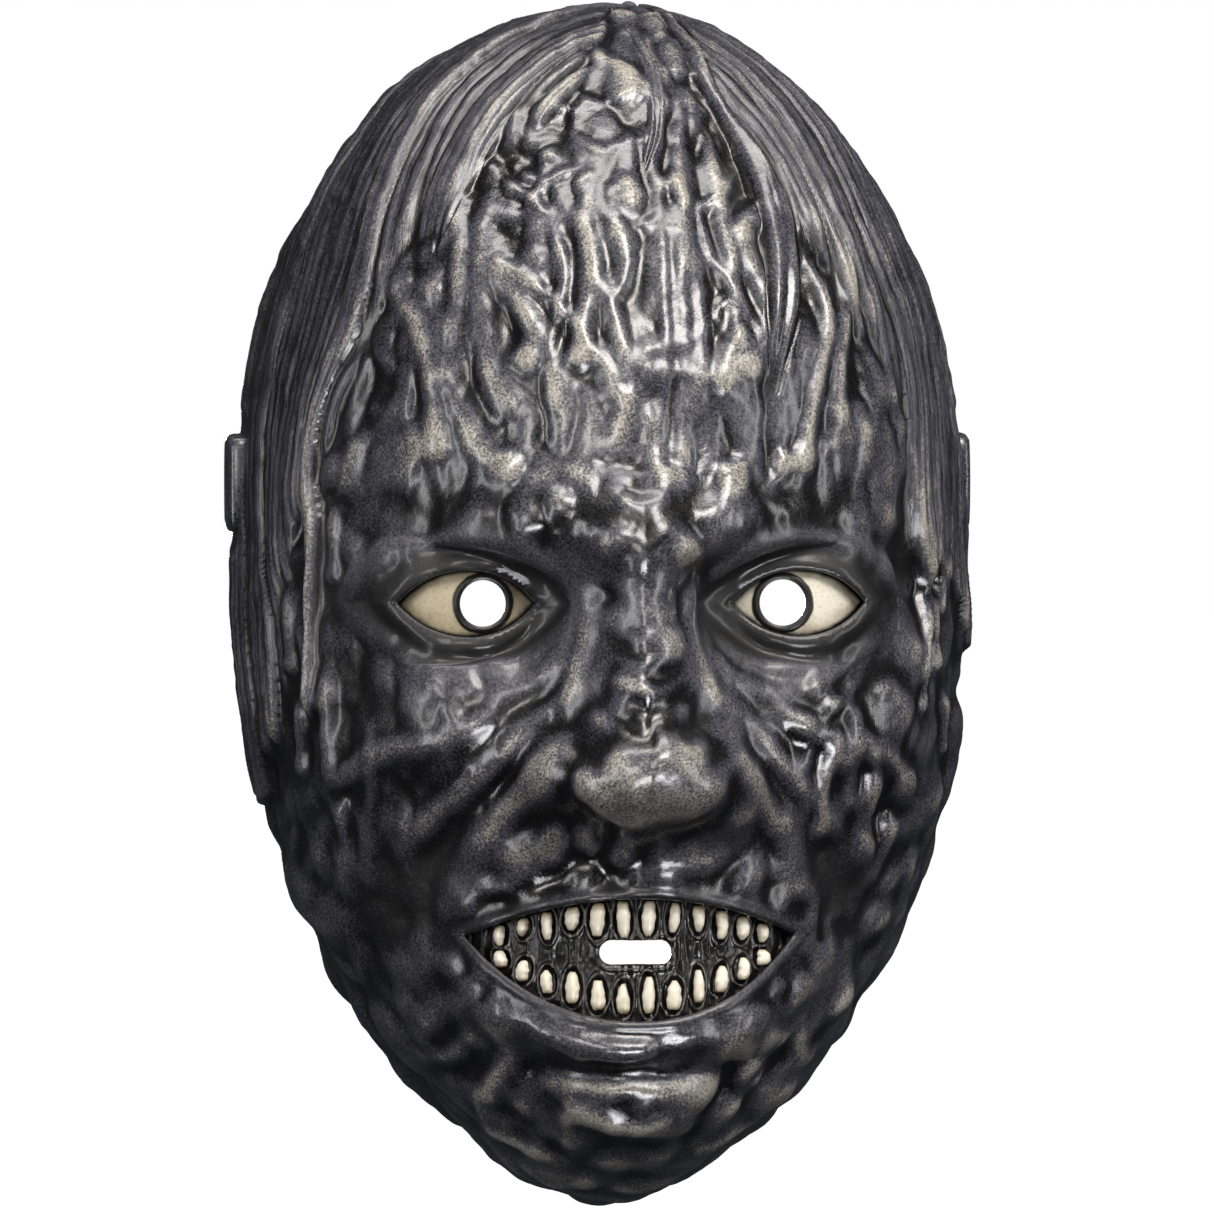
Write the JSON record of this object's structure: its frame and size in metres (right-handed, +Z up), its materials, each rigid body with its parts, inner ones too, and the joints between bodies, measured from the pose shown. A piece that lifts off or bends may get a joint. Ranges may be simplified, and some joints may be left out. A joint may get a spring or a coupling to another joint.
{
  "type": "halloween mask",
  "caption": "Front-only moulded ghoul mask with scarred skin, swept hair, see-through pupils, bared teeth, a breathing slot and an adjustable elastic head strap.",
  "frame": {"origin": "on the plane of the rim, on the mask's centre line, at the height of the pupils", "axes": "+Z up along the face, +Y backwards out of the open back towards the wearer, +X to the wearer's left"},
  "size_m": [0.1648, 0.2055, 0.2637],
  "materials": {
    "mould_skin": "satin, dry-brushed grey over black",
    "eye_enamel": "satin paint with a black ring",
    "gum_gloss": "gloss",
    "tooth_enamel": "satin",
    "pad_foam": "matte foam",
    "rivet_steel": "blackened",
    "washer_steel": "satin",
    "hardware_plastic": "matte",
    "strap_elastic": "woven"
  },
  "bodies": {
    "mask": {"face_shell": "mould_skin", "eye_cup_left": "eye_enamel", "eye_cup_right": "eye_enamel", "gum_plate": "gum_gloss", "teeth_upper": "tooth_enamel", "teeth_lower": "tooth_enamel", "forehead_pad": "pad_foam", "cheek_pad_left": "pad_foam", "cheek_pad_right": "pad_foam", "strap_rivet_left": "rivet_steel", "strap_rivet_right": "rivet_steel", "rivet_washer_left": "washer_steel", "rivet_washer_right": "washer_steel"},
    "strap": {"anchor_loop_left": "hardware_plastic", "anchor_loop_right": "hardware_plastic", "strap_band": "strap_elastic", "strap_return": "strap_elastic"},
    "slider": {"strap_slider": "hardware_plastic"}
  },
  "joints": [
    {"name": "strap_swing", "type": "hinge", "parent": "mask", "child": "strap", "pos_m": [0, -0.009, 0.025], "axis": [1, 0, 0], "range_deg": [-50, 40]},
    {"name": "slider_slide", "type": "slide", "parent": "strap", "child": "slider", "axis": [0, 1, 0], "range_m": [-0.008, 0.012], "deforming": ["strap_return"]}
  ]
}
